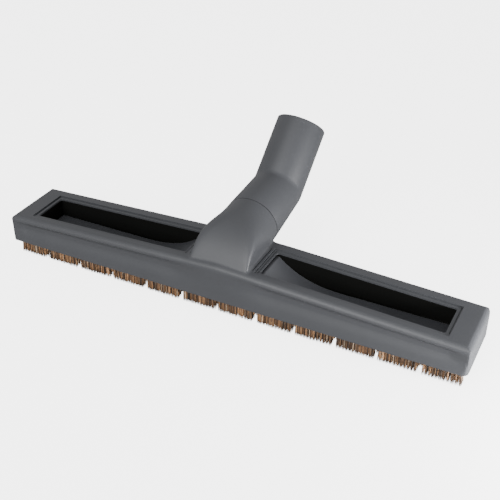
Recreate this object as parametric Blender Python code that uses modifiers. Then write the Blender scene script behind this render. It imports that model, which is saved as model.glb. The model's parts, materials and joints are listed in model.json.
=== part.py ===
"""Hard-floor brush nozzle for a vacuum cleaner.

A wide moulded housing with two windows in its top and a neck in the middle, a black inner frame,
a duct cover, two rows of bristles in rails and an elbow that swivels in the neck's collar.
Metres, +Z up.  The bristle tips stand on z = 0 and the front is at -Y.  The parts are laid out
from the housing's own datum: its bottom edge, halfway along and halfway across.
"""

import math

import bmesh
import bpy
from mathutils import Matrix, Vector

GAP = 0.0003  # clearance between pieces that touch

# Housing
LENGTH = 0.3620
DEPTH = 0.0525
END_HEIGHT = 0.0209
ROOF_RISE = 0.0074
WALL = 0.0020
CORNER_RADIUS = 0.0042
LIP_RADIUS = 0.0042
LIP_LEAN = 0.7
REAR_RADIUS = 0.0022
FACE_DRAFT = 0.0016
FACE_KNEE = (0.75, 0.38)  # share of the draft, and of the height, where the front face bends
FACE_WAIST = 0.62  # share of the height where the front face has its whole draft
REAR_LEAN = 0.3  # share of the draft on the rear face
SECTION_SHARES = (0.75, 0.5, 0.25, 0.0)  # where the sections lie between the corner and the middle

# Windows in the top
WINDOW_TO_MIDDLE = 0.0298
WINDOW_TO_FRONT = 0.01165
WINDOW_TO_REAR = 0.01245
WINDOW_TO_END = 0.0199
WINDOW_CORNER = 0.0020
BORDER_WIDTH = 0.0034
BORDER_DEPTH = 0.0009

# Bristles and the rails that hold them
BRISTLE_REACH = 0.0130
BRISTLE_ROOT_WIDTH = 0.0044
BRISTLE_TIP_WIDTH = 0.0062
BRISTLE_ROOT_DEPTH = 0.0056
BRISTLE_END_SPLAY = 0.0022
NOTCH_COUNT = 11
NOTCH_WIDTH = 0.0036
NOTCH_DEPTH = 0.0068
NOTCH_SHIFT = -0.0015
RAIL_WALL = 0.0008
RAIL_HEIGHT = 0.0066
RAIL_RECESS = 0.0006

# Inner frame and duct cover
FRAME_WALL = 0.0014
SHELF_THICKNESS = 0.0014
SCREW_PAD_WIDTH = 0.0110
DUCT_WALL = 0.0016
DUCT_FLOOR_TOP = 0.0063
RAMP_LENGTH = 0.0560
RAMP_TOP_DROP = 0.0038
RAMP_GAP = 0.0016
RAMP_HOLLOW = 2.9
THROAT_HALF_WIDTH = 0.0195

# Neck, swivel and elbow
NECK_BEHIND = 0.0312
NECK_HEIGHT = 0.0340
NECK_TILT = math.radians(7.9)
COLLAR_RADIUS = 0.0210
COLLAR_LENGTH = 0.0080
COLLAR_WALL = 0.0024
HOOD_WALL = 0.0012
HOOD_FRONT_HALF_WIDTH = 0.0228
HOOD_BOX = 4.5
HOOD_ROUNDING = 3.3
BUSH_SPACE = 0.0014
SPIGOT_LENGTH = 0.0165
SPIGOT_GROOVE = 0.0009
CLIP_WIDTH = 0.0022
SEAL_WIDTH = 0.0018
ELBOW_WALL = 0.0018
ELBOW_LOWER = 0.0451
ELBOW_UPPER = 0.0540
ELBOW_BEND = math.radians(38.0)
ELBOW_TURN = math.radians(3.8)
BEND_RADIUS = 0.0194
BEND_SOFTNESS = 0.0040
SOCKET_BORE = 0.0350
SOCKET_DEPTH = 0.0380

# Screws
SCREW_RADIUS = 0.0013
SCREW_HEAD_RADIUS = 0.0026
SCREW_HEAD_HEIGHT = 0.0016
SCREW_HEAD_RIM = 0.6 * SCREW_HEAD_HEIGHT  # upright part of the head's edge
SCREW_HEAD_CROWN = 0.7 * SCREW_HEAD_RADIUS  # flat top of the head
SCREW_TO_WINDOW = 0.0053
END_SCREW_BITE = 0.0055
BOSS_RADIUS = 0.0030

# Shading and number of facets
SHARP_ANGLE = math.radians(35.0)
ROUND = 48
SMALL_ROUND = 16
ARC_STEPS = 4
RAMP_STEPS = 8
HOOD_STEPS = 12

# Worked out from the sizes above
HALF_LENGTH = LENGTH / 2
HALF_DEPTH = DEPTH / 2
SOCKET_RADIUS = SOCKET_BORE / 2
MOUTH_RADIUS = SOCKET_RADIUS + ELBOW_WALL
COLLAR_BORE = COLLAR_RADIUS - COLLAR_WALL
SPIGOT_RADIUS = COLLAR_BORE - BUSH_SPACE
ELBOW_BORE = SPIGOT_RADIUS - ELBOW_WALL
WINDOW_OUTER = HALF_LENGTH - WINDOW_TO_END
WINDOW_INNER = WINDOW_TO_MIDDLE
WINDOW_FRONT = HALF_DEPTH - WINDOW_TO_FRONT
WINDOW_BACK = HALF_DEPTH - WINDOW_TO_REAR
SCREW_SPREAD = WINDOW_BACK - SCREW_TO_WINDOW
NOTCH_PITCH = LENGTH / (NOTCH_COUNT + 1)
FRAME_INNER_X = WINDOW_OUTER + GAP
FRAME_FRONT = WINDOW_FRONT + GAP
FRAME_BACK = WINDOW_BACK + GAP
SHELF_BOTTOM = RAIL_RECESS + RAIL_HEIGHT + GAP
SHELF_TOP = SHELF_BOTTOM + SHELF_THICKNESS
ELBOW_RISE = NECK_TILT + ELBOW_BEND
MOUTH_BACK = (
    NECK_BEHIND
    + ELBOW_LOWER * math.cos(NECK_TILT)
    + ELBOW_UPPER * math.cos(ELBOW_RISE)
    + MOUTH_RADIUS * math.sin(ELBOW_RISE)
)
DATUM = Vector((0.0, (HALF_DEPTH - MOUTH_BACK) / 2, BRISTLE_REACH))


# ---------------------------------------------------------------- scene, materials, helpers


def clear_scene():
    for obj in list(bpy.data.objects):
        bpy.data.objects.remove(obj, do_unlink=True)


def new_collection(name):
    collection = bpy.data.collections.new(name)
    bpy.context.scene.collection.children.link(collection)
    return collection


def new_material(name, colour, roughness, metallic=0.0):
    material = bpy.data.materials.new(name)
    material.use_nodes = True
    shader = material.node_tree.nodes["Principled BSDF"]
    shader.inputs["Base Color"].default_value = (*colour, 1.0)
    shader.inputs["Roughness"].default_value = roughness
    shader.inputs["Metallic"].default_value = metallic
    return material


clear_scene()
PARTS = new_collection("floor_brush_nozzle")
CUTTERS = new_collection("cutters")
GREY_ABS = new_material("grey_abs", (0.155, 0.158, 0.163), 0.45)
BLACK_PP = new_material("black_polypropylene", (0.012, 0.012, 0.011), 0.55)
FELT = new_material("felt", (0.03, 0.03, 0.03), 0.95)
ACETAL = new_material("acetal", (0.75, 0.75, 0.72), 0.35)
HORSEHAIR = new_material("horsehair", (0.16, 0.09, 0.05), 0.8)
STEEL = new_material("zinc_plated_steel", (0.55, 0.55, 0.57), 0.3, 1.0)


def new_empty(name, location, rotation=(0.0, 0.0, 0.0), parent=None):
    empty = bpy.data.objects.new(name, None)
    empty.location = location
    empty.rotation_euler = rotation
    empty.parent = parent
    PARTS.objects.link(empty)
    return empty


HOUSING_DATUM = new_empty("housing_datum", DATUM)
SWIVEL_AXIS = new_empty(
    "swivel_axis",
    (0.0, NECK_BEHIND, NECK_HEIGHT),
    (NECK_TILT - math.pi / 2, 0.0, 0.0),
    HOUSING_DATUM,
)
ELBOW_AXIS = new_empty("elbow_axis", (0.0, 0.0, 0.0), (0.0, 0.0, ELBOW_TURN), SWIVEL_AXIS)


def place(obj, material=None, parent=HOUSING_DATUM):
    """Move an object to the parts, or to the cutters when it has no material."""
    for collection in list(obj.users_collection):
        collection.objects.unlink(obj)
    obj.parent = parent
    if material is None:
        CUTTERS.objects.link(obj)
        obj.hide_render = True
        obj.display_type = "WIRE"
    else:
        PARTS.objects.link(obj)
        obj.data.materials.clear()
        obj.data.materials.append(material)
        obj.data.shade_smooth()
        obj.data.set_sharp_from_angle(angle=SHARP_ANGLE)
    return obj


def mesh_object(name, bm, material=None, parent=HOUSING_DATUM):
    if bm.calc_volume(signed=True) < 0:
        bmesh.ops.reverse_faces(bm, faces=bm.faces)
    mesh = bpy.data.meshes.new(name)
    bm.to_mesh(mesh)
    bm.free()
    obj = bpy.data.objects.new(name, mesh)
    bpy.context.scene.collection.objects.link(obj)
    return place(obj, material, parent)


def box(name, low, high, material=None, parent=HOUSING_DATUM):
    bm = bmesh.new()
    bmesh.ops.create_cube(bm, size=1.0)
    size = Vector(high) - Vector(low)
    middle = (Vector(high) + Vector(low)) / 2
    bmesh.ops.scale(bm, vec=size, verts=bm.verts)
    bmesh.ops.translate(bm, vec=middle, verts=bm.verts)
    return mesh_object(name, bm, material, parent)


def cylinder(name, radius, bottom, top, centre=(0.0, 0.0), facets=SMALL_ROUND, parent=HOUSING_DATUM):
    bm = bmesh.new()
    bmesh.ops.create_cone(
        bm, cap_ends=True, segments=facets, radius1=radius, radius2=radius, depth=top - bottom
    )
    bmesh.ops.translate(bm, vec=(centre[0], centre[1], (bottom + top) / 2), verts=bm.verts)
    return mesh_object(name, bm, None, parent)


def loft(name, rings, material=None, parent=HOUSING_DATUM, closed=False):
    """Skin a row of rings that have the same number of points; closed joins last to first."""
    bm = bmesh.new()
    rows = [[bm.verts.new(point) for point in ring] for ring in rings]
    count = len(rings[0])
    pairs = list(zip(rows, rows[1:]))
    if closed:
        pairs.append((rows[-1], rows[0]))
    else:
        bm.faces.new(rows[0])
        bm.faces.new(list(reversed(rows[-1])))
    for first, second in pairs:
        for i in range(count):
            j = (i + 1) % count
            bm.faces.new((first[j], first[i], second[i], second[j]))
    return mesh_object(name, bm, material, parent)


def turned(name, outline, material, parent):
    """A ring turned about its parent's Z axis from (radius, height) corners, outer side first."""
    bm = bmesh.new()
    corners = [bm.verts.new((radius, 0.0, height)) for radius, height in outline]
    for i, corner in enumerate(corners):
        bm.edges.new((corner, corners[(i + 1) % len(corners)]))
    mesh = bpy.data.meshes.new(name)
    bm.to_mesh(mesh)
    bm.free()
    obj = bpy.data.objects.new(name, mesh)
    bpy.context.scene.collection.objects.link(obj)
    screw = obj.modifiers.new("turn", "SCREW")
    screw.steps = ROUND
    screw.render_steps = ROUND
    screw.use_merge_vertices = True
    screw.merge_threshold = 0.00001
    return place(obj, material, parent)


def combine(target, tools, operation="DIFFERENCE"):
    for tool in tools:
        modifier = target.modifiers.new(f"{operation.lower()}_{tool.name}", "BOOLEAN")
        modifier.operation = operation
        modifier.solver = "EXACT"
        modifier.object = tool
    return target


def ramp(start, stop, steps):
    return [start + (stop - start) * i / steps for i in range(steps + 1)]


# ---------------------------------------------------------------- housing


def top_height(x):
    """Height of the housing's top at x: two straight slopes that meet in the middle."""
    return END_HEIGHT + ROOF_RISE * (1 - abs(x) / HALF_LENGTH)


def housing_section(x, inset, bottom):
    """Cross section of the housing at x, moved inwards by inset: (y, z) from the front's foot."""
    top = top_height(x) - inset
    front = -HALF_DEPTH + inset
    back = HALF_DEPTH - inset
    radius = max(LIP_RADIUS - inset, GAP)
    rear_radius = max(REAR_RADIUS - inset, GAP)
    waist = front + FACE_DRAFT
    lip = front + FACE_DRAFT * LIP_LEAN
    drawn, raised = FACE_KNEE
    points = [(front, bottom), (front + FACE_DRAFT * drawn, top * raised), (waist, top * FACE_WAIST)]
    for angle in ramp(0.0, math.pi / 2, ARC_STEPS):
        y = lip + radius * (1 - math.cos(angle))
        z = top - radius * (1 - math.sin(angle))
        points.append((y, z))
    for angle in ramp(math.pi / 2, 0.0, ARC_STEPS):
        y = back - FACE_DRAFT * REAR_LEAN - rear_radius * (1 - math.cos(angle))
        z = top - rear_radius * (1 - math.sin(angle))
        points.append((y, z))
    points.append((back, bottom))
    return points


def housing_rings(inset, bottom):
    """Sections from end to end, drawn in over the rounded corners."""
    half = HALF_LENGTH - inset
    radius = CORNER_RADIUS - inset / 2
    stations = []
    for angle in ramp(math.pi / 2, 0.0, ARC_STEPS):
        stations.append((half - radius * (1 - math.sin(angle)), radius * (1 - math.cos(angle))))
    middle = [(half * share, 0.0) for share in SECTION_SHARES]
    right = stations + middle
    left = [(-x, drawn_in) for x, drawn_in in reversed(right[:-1])]
    rings = []
    for x, drawn_in in right + left:
        rings.append([(x, y, z) for y, z in housing_section(x, inset + drawn_in, bottom)])
    return rings


def hood_end():
    """Where the hood's top line meets the housing's front lip: along the axis, and above it."""
    lip = Vector((-HALF_DEPTH + FACE_DRAFT + LIP_RADIUS, top_height(0.0)))
    offset = lip - Vector((NECK_BEHIND, NECK_HEIGHT))
    along = Vector((math.cos(NECK_TILT), math.sin(NECK_TILT)))
    above = Vector((-math.sin(NECK_TILT), math.cos(NECK_TILT)))
    return -offset.dot(along), offset.dot(above)


def hood_ring(distance, wall):
    """Ring of the hood at a distance before the collar's mouth: round there, boxy at the front."""
    length, end_rise = hood_end()
    share = distance / length
    half_width = COLLAR_RADIUS + (HOOD_FRONT_HALF_WIDTH - COLLAR_RADIUS) * share - wall
    rise = COLLAR_RADIUS + (end_rise - COLLAR_RADIUS) * share**HOOD_ROUNDING - wall
    fall = COLLAR_RADIUS - wall
    power = 2 / (2 + (HOOD_BOX - 2) * share)
    points = []
    for i in range(ROUND):
        angle = 2 * math.pi * i / ROUND
        across = math.cos(angle)
        up = math.sin(angle)
        x = half_width * math.copysign(abs(across) ** power, across)
        y = (rise if up > 0 else fall) * math.copysign(abs(up) ** power, up)
        points.append((x, -y, -distance))
    return points


def hood_solid(name, start, stop, wall):
    rings = [hood_ring(distance, wall) for distance in ramp(start, stop, HOOD_STEPS)]
    return loft(name, rings, None, SWIVEL_AXIS)


def roof_prism(name, x_low, x_high, y_low, y_high, under):
    """A cutter over part of the top, its lower side parallel to the slope at a depth under it."""
    roof = END_HEIGHT + ROOF_RISE * 2
    rings = []
    for x in (x_low, x_high):
        low = top_height(x) - under
        rings.append([(x, y_low, low), (x, y_low, roof), (x, y_high, roof), (x, y_high, low)])
    return loft(name, rings)


def window_cutters(side, label):
    """The window itself with rounded corners, and the sunk border around it."""
    inner = side * WINDOW_INNER
    outer = side * WINDOW_OUTER
    low_x = min(inner, outer)
    high_x = max(inner, outer)
    opening = box(
        f"cut_window_{label}",
        (low_x, -WINDOW_FRONT, SHELF_TOP),
        (high_x, WINDOW_BACK, END_HEIGHT + ROOF_RISE * 2),
    )
    bevel_upright_edges(opening, WINDOW_CORNER)
    border = roof_prism(
        f"cut_border_{label}",
        low_x - BORDER_WIDTH,
        high_x + BORDER_WIDTH,
        -WINDOW_FRONT - BORDER_WIDTH,
        WINDOW_BACK + BORDER_WIDTH,
        BORDER_DEPTH,
    )
    return [opening, border]


def bevel_upright_edges(obj, radius):
    bm = bmesh.new()
    bm.from_mesh(obj.data)
    upright = [e for e in bm.edges if abs(e.verts[0].co.z - e.verts[1].co.z) > radius]
    bmesh.ops.bevel(bm, geom=upright, offset=radius, segments=ARC_STEPS, affect="EDGES", profile=0.5)
    bm.to_mesh(obj.data)
    bm.free()


def end_screw_x():
    return (FRAME_INNER_X + FRAME_WALL + HALF_LENGTH - WALL) / 2


def duct_screw_x():
    return (THROAT_HALF_WIDTH + WINDOW_INNER) / 2 + GAP


def screw_places():
    """Name, x, y and height of each screw head's seat."""
    places = []
    for side, label in ((1, "right"), (-1, "left")):
        for way, depth in ((-1, "front"), (1, "rear")):
            y = way * SCREW_SPREAD
            places.append((f"end_screw_{label}_{depth}", side * end_screw_x(), y, end_seat()))
            places.append((f"duct_screw_{label}_{depth}", side * duct_screw_x(), y, duct_flange_bottom()))
    return places


def end_seat():
    return RAIL_RECESS + SCREW_HEAD_HEIGHT + GAP


def boss_bottom(name):
    if name.startswith("end"):
        return SHELF_TOP + GAP
    return duct_flange_top() + GAP


def duct_flange_top():
    return top_height(WINDOW_INNER) - RAMP_TOP_DROP


def screw_length(name):
    if name.startswith("end"):
        return boss_bottom(name) - end_seat() + END_SCREW_BITE
    return top_height(duct_screw_x()) - WALL / 2 - duct_flange_bottom()


def duct_flange_bottom():
    return duct_flange_top() - DUCT_WALL


def top_cover():
    cover = loft("top_cover", housing_rings(0.0, 0.0), GREY_ABS)
    hood_length, _ = hood_end()
    combine(cover, [hood_solid("join_hood", 0.0, hood_length, 0.0)], "UNION")
    cavity = loft("cut_cavity", housing_rings(WALL, -WALL))
    neck = hood_solid("cut_neck", COLLAR_LENGTH, hood_length - 2 * WALL, HOOD_WALL)
    bore = cylinder(
        "cut_collar_bore", COLLAR_BORE, -COLLAR_LENGTH - WALL, WALL, facets=ROUND, parent=SWIVEL_AXIS
    )
    combine(cover, [cavity, neck, bore])
    combine(cover, window_cutters(1, "right") + window_cutters(-1, "left"))
    add_bosses(cover)
    return cover


def add_bosses(cover):
    """Screw bosses that hang from the top wall, each with a pilot hole for its screw."""
    for name, x, y, seat in screw_places():
        roof = top_height(abs(x) + BOSS_RADIUS) - WALL / 2
        boss = cylinder(f"join_boss_{name}", BOSS_RADIUS, boss_bottom(name), roof, (x, y))
        combine(cover, [boss], "UNION")
        tip = seat + screw_length(name) + GAP
        pilot = cylinder(f"cut_pilot_{name}", SCREW_RADIUS + GAP, boss_bottom(name) - WALL, tip, (x, y))
        combine(cover, [pilot])


# ---------------------------------------------------------------- inner frame and duct cover


def inner_frame():
    """Black frame: a shelf over the rails and walls that line both windows."""
    reach = HALF_LENGTH - WALL - GAP
    side = HALF_DEPTH
    frame = box("inner_frame", (-reach, -side, SHELF_BOTTOM), (reach, side, SHELF_TOP), BLACK_PP)
    lining = box(
        "join_lining",
        (-FRAME_INNER_X - FRAME_WALL, -FRAME_FRONT - FRAME_WALL, SHELF_BOTTOM),
        (FRAME_INNER_X + FRAME_WALL, FRAME_BACK + FRAME_WALL, END_HEIGHT + ROOF_RISE * 2),
    )
    pads = []
    pad_reach = rail_inner_y() - GAP
    for way, label in ((1, "right"), (-1, "left")):
        centre = way * end_screw_x()
        low = (centre - SCREW_PAD_WIDTH / 2, -pad_reach, RAIL_RECESS)
        high = (centre + SCREW_PAD_WIDTH / 2, pad_reach, SHELF_TOP)
        pads.append(box(f"join_pad_{label}", low, high))
    combine(frame, [lining] + pads, "UNION")
    limit = loft("keep_frame", housing_rings(WALL + GAP, -WALL))
    combine(frame, [limit], "INTERSECT")
    combine(frame, frame_cutters())
    return frame


def frame_cutters():
    roof = END_HEIGHT + ROOF_RISE * 2
    well = box(
        "cut_well",
        (-FRAME_INNER_X, -FRAME_FRONT, -WALL),
        (FRAME_INNER_X, FRAME_BACK, roof),
    )
    spigot_room = box(
        "cut_spigot_room",
        (-COLLAR_RADIUS, FRAME_BACK - WALL, SHELF_TOP),
        (COLLAR_RADIUS, HALF_DEPTH, roof),
    )
    cutters = [well, spigot_room]
    for name, x, y, seat in screw_places():
        if name.startswith("end"):
            cutters.append(cylinder(f"cut_hole_{name}", SCREW_RADIUS + GAP, -WALL, roof, (x, y)))
            head = SCREW_HEAD_RADIUS + GAP
            cutters.append(cylinder(f"cut_head_{name}", head, -WALL, seat + GAP, (x, y)))
    return cutters


def ramp_outline(way):
    """Upper line of the duct cover on one side: flat floor, then a hollow ramp up to the neck."""
    foot = WINDOW_INNER + RAMP_GAP + RAMP_LENGTH
    head = WINDOW_INNER + RAMP_GAP
    rise = duct_flange_top() - DUCT_FLOOR_TOP
    points = [(way * (FRAME_INNER_X - GAP), DUCT_FLOOR_TOP)]
    for share in ramp(0.0, 1.0, RAMP_STEPS):
        x = foot + (head - foot) * share
        points.append((way * x, DUCT_FLOOR_TOP + rise * share**RAMP_HOLLOW))
    points.append((way * THROAT_HALF_WIDTH, duct_flange_top()))
    return points


def duct_half(name, way, material=None):
    """One side of the duct cover: a bent sheet between the window's front and back edges."""
    upper = ramp_outline(way)
    lower = [(x, z - DUCT_WALL) for x, z in reversed(upper)]
    outline = upper + lower
    rings = []
    for y in (-WINDOW_FRONT, WINDOW_BACK):
        rings.append([(x, y, z) for x, z in outline])
    return loft(name, rings, material)


def duct_cover():
    """Floor of both wells, their ramps, and the throat's front and back walls that join them."""
    cover = duct_half("duct_cover", 1, GREY_ABS)
    joins = [duct_half("join_duct_left", -1)]
    reach = WINDOW_INNER + RAMP_GAP
    floor = DUCT_FLOOR_TOP - DUCT_WALL
    for label, low_y, high_y in (
        ("front", -WINDOW_FRONT, -WINDOW_FRONT + DUCT_WALL),
        ("back", WINDOW_BACK - DUCT_WALL, WINDOW_BACK),
    ):
        low = (-reach, low_y, floor)
        high = (reach, high_y, duct_flange_top() - GAP)
        joins.append(box(f"join_throat_{label}", low, high))
    combine(cover, joins, "UNION")
    holes = []
    for name, x, y, _ in screw_places():
        if name.startswith("duct"):
            top = duct_flange_top() + WALL
            bottom = duct_flange_bottom() - WALL
            holes.append(cylinder(f"cut_hole_{name}", SCREW_RADIUS + GAP, bottom, top, (x, y)))
    return combine(cover, holes)


# ---------------------------------------------------------------- bristles and rails


def row_y(way):
    """Middle of a bristle row: its rail stands just inside the housing's wall."""
    front = HALF_DEPTH - FACE_DRAFT - WALL - GAP
    return way * (front - rail_width() / 2)


def rail_width():
    return BRISTLE_ROOT_WIDTH + 2 * (GAP + RAIL_WALL)


def rail_inner_y():
    """Inner side of either rail, as a distance from the housing's middle."""
    return row_y(1) - rail_width() / 2


def rail_half_length():
    return HALF_LENGTH - WALL - CORNER_RADIUS / 2


def rail(way, label):
    """Channel open at its underside, which holds the roots of one row."""
    half = rail_half_length()
    middle = row_y(way)
    width = rail_width() / 2
    top = RAIL_RECESS + RAIL_HEIGHT
    channel = box(
        f"{label}_rail", (-half, middle - width, RAIL_RECESS), (half, middle + width, top), BLACK_PP
    )
    groove_half = width - RAIL_WALL
    groove = box(
        f"cut_groove_{label}",
        (-half + RAIL_WALL, middle - groove_half, -WALL),
        (half - RAIL_WALL, middle + groove_half, top - RAIL_WALL),
    )
    return combine(channel, [groove])


def notch_cutter(name, x, middle):
    low = (x - NOTCH_WIDTH / 2, middle - BRISTLE_TIP_WIDTH, -BRISTLE_REACH - WALL)
    high = (x + NOTCH_WIDTH / 2, middle + BRISTLE_TIP_WIDTH, -BRISTLE_REACH + NOTCH_DEPTH)
    return box(name, low, high)


def bristle_row(way, label):
    """A band of bristles, wider at its tips, with a row of notches cut from below."""
    half = rail_half_length() - RAIL_WALL - GAP
    middle = row_y(way)
    root = BRISTLE_ROOT_WIDTH / 2
    tip = BRISTLE_TIP_WIDTH / 2
    section = [
        (middle - root, BRISTLE_ROOT_DEPTH, 0.0),
        (middle - root, 0.0, 0.0),
        (middle - tip, -BRISTLE_REACH, BRISTLE_END_SPLAY),
        (middle + tip, -BRISTLE_REACH, BRISTLE_END_SPLAY),
        (middle + root, 0.0, 0.0),
        (middle + root, BRISTLE_ROOT_DEPTH, 0.0),
    ]
    rings = []
    for side in (-1, 1):
        rings.append([(side * (half + splay), y, z) for y, z, splay in section])
    row = loft(f"{label}_bristles", rings, HORSEHAIR)
    cutters = []
    for i in range(NOTCH_COUNT):
        x = NOTCH_SHIFT + (i - (NOTCH_COUNT - 1) / 2) * NOTCH_PITCH
        cutters.append(notch_cutter(f"cut_notch_{label}_{i + 1:02d}", x, middle))
    return combine(row, cutters)


# ---------------------------------------------------------------- elbow and its bearing


def circle_ring(radius, height):
    """Ring about the swivel axis at a height along it."""
    return [tube_point(radius, i, height) for i in range(ROUND)]


def tube_point(radius, i, height):
    angle = 2 * math.pi * i / ROUND
    return Vector((radius * math.cos(angle), radius * math.sin(angle), height))


def bend_matrix(share):
    """Frame of the elbow's axis part of the way round its bend."""
    corner = Matrix.Translation((0.0, 0.0, ELBOW_LOWER))
    return corner @ Matrix.Rotation(ELBOW_BEND * share, 4, "X")


def mitre_ring(radius):
    """Ring where both straight tubes of the elbow meet."""
    slope = math.tan(ELBOW_BEND / 2)
    ring = []
    for point in circle_ring(radius, 0.0):
        ring.append(Vector((point.x, point.y, ELBOW_LOWER + point.y * slope)))
    return ring


def upper_ring(radius, height):
    """Ring about the upper tube at a height along it, counted from the bend."""
    frame = bend_matrix(1.0)
    return [frame @ point for point in circle_ring(radius, height)]


def bend_rings(radius):
    """The rings over the bend, eased so that its crease is soft."""
    before = [tube_point(radius, i, 0.0) for i in range(ROUND)]
    slope = math.tan(ELBOW_BEND / 2)
    lower = []
    upper = []
    frame = bend_matrix(1.0)
    for point in before:
        height = point.y * slope
        lower.append(Vector((point.x, point.y, ELBOW_LOWER + height - BEND_SOFTNESS)))
        upper.append(frame @ Vector((point.x, point.y, -height + BEND_SOFTNESS)))
    middle = []
    for low, crease, high in zip(lower, mitre_ring(radius), upper):
        middle.append((low + high) / 4 + crease / 2)
    return [lower, middle, upper]


def swivel_elbow():
    """One-piece elbow: grooved spigot, shoulder, bend and the socket at its mouth."""
    groove_start = -(COLLAR_LENGTH + GAP)
    groove_end = groove_start - CLIP_WIDTH - 2 * GAP
    groove_radius = SPIGOT_RADIUS - SPIGOT_GROOVE
    outside = [
        circle_ring(SPIGOT_RADIUS, -SPIGOT_LENGTH),
        circle_ring(SPIGOT_RADIUS, groove_end),
        circle_ring(groove_radius, groove_end),
        circle_ring(groove_radius, groove_start + GAP),
        circle_ring(SPIGOT_RADIUS, groove_start + GAP),
        circle_ring(SPIGOT_RADIUS, GAP),
        circle_ring(COLLAR_RADIUS - GAP, GAP),
        circle_ring(COLLAR_RADIUS, 2 * GAP),
    ]
    outside += bend_rings(BEND_RADIUS)
    outside += [
        upper_ring(MOUTH_RADIUS, ELBOW_UPPER - GAP),
        upper_ring(MOUTH_RADIUS - GAP, ELBOW_UPPER),
    ]
    inside = [
        upper_ring(SOCKET_RADIUS, ELBOW_UPPER),
        upper_ring(SOCKET_RADIUS, ELBOW_UPPER - SOCKET_DEPTH),
        upper_ring(ELBOW_BORE, ELBOW_UPPER - SOCKET_DEPTH),
    ]
    inside += [mitre_ring(ELBOW_BORE), circle_ring(ELBOW_BORE, -SPIGOT_LENGTH)]
    return loft("swivel_elbow", outside + inside, GREY_ABS, ELBOW_AXIS, closed=True)


def clip_half(way, label):
    """Half of the split ring that keeps the spigot in the collar."""
    start = -(COLLAR_LENGTH + GAP)
    end = start - CLIP_WIDTH
    inner = SPIGOT_RADIUS - SPIGOT_GROOVE + GAP
    outer = COLLAR_RADIUS - HOOD_WALL - 2 * GAP
    outline = [(outer, start), (outer, end), (inner, end), (inner, start)]
    clip = turned(f"retaining_clip_{label}", outline, ACETAL, ELBOW_AXIS)
    reach = 2 * COLLAR_RADIUS
    cutter = box(
        f"cut_clip_{label}",
        (min(0.0, way * reach) - (GAP / 2), -reach, end - WALL),
        (max(0.0, way * reach) + (GAP / 2), reach, start + WALL),
        None,
        ELBOW_AXIS,
    )
    return combine(clip, [cutter])


def swivel_bush():
    """Plain bearing sleeve pressed into the collar behind the felt."""
    start = -(SEAL_WIDTH + 2 * GAP)
    end = -COLLAR_LENGTH
    inner = SPIGOT_RADIUS + GAP
    outer = COLLAR_BORE - GAP
    outline = [(outer, start), (outer, end), (inner, end), (inner, start)]
    return turned("swivel_bush", outline, ACETAL, SWIVEL_AXIS)


def neck_seal():
    """Felt ring at the collar's mouth."""
    start = -GAP
    end = start - SEAL_WIDTH
    inner = SPIGOT_RADIUS + GAP
    outer = COLLAR_BORE - GAP
    outline = [(outer, start), (outer, end), (inner, end), (inner, start)]
    return turned("neck_seal", outline, FELT, SWIVEL_AXIS)


# ---------------------------------------------------------------- screws


def screw(name, x, y, seat):
    """Pan-head screw driven upwards: its head below the seat, its shank in the boss."""
    length = screw_length(name)
    outline = [
        (0.0, length),
        (SCREW_RADIUS, length),
        (SCREW_RADIUS, 0.0),
        (SCREW_HEAD_RADIUS, 0.0),
        (SCREW_HEAD_RADIUS, -SCREW_HEAD_RIM),
        (SCREW_HEAD_CROWN, -SCREW_HEAD_HEIGHT),
        (0.0, -SCREW_HEAD_HEIGHT),
    ]
    bm = bmesh.new()
    corners = [bm.verts.new((radius, 0.0, height)) for radius, height in outline]
    for first, second in zip(corners, corners[1:]):
        bm.edges.new((first, second))
    mesh = bpy.data.meshes.new(name)
    bm.to_mesh(mesh)
    bm.free()
    obj = bpy.data.objects.new(name, mesh)
    bpy.context.scene.collection.objects.link(obj)
    turn = obj.modifiers.new("turn", "SCREW")
    turn.steps = SMALL_ROUND
    turn.render_steps = SMALL_ROUND
    turn.use_merge_vertices = True
    turn.merge_threshold = 0.00001
    obj.location = (x, y, seat - GAP)
    return place(obj, STEEL)


def build():
    top_cover()
    inner_frame()
    duct_cover()
    for way, label in ((-1, "front"), (1, "rear")):
        rail(way, label)
        bristle_row(way, label)
    swivel_elbow()
    swivel_bush()
    neck_seal()
    clip_half(1, "left")
    clip_half(-1, "right")
    for name, x, y, seat in screw_places():
        screw(name, x, y, seat)


build()
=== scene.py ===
"""Hard-floor brush nozzle: fine surfaces, finishes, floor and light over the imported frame."""

import json
import logging
import math
from collections.abc import Callable, Sequence
from dataclasses import dataclass
from enum import Enum

import bmesh
import bpy
import numpy as np
from mathutils import Matrix, Vector


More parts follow.
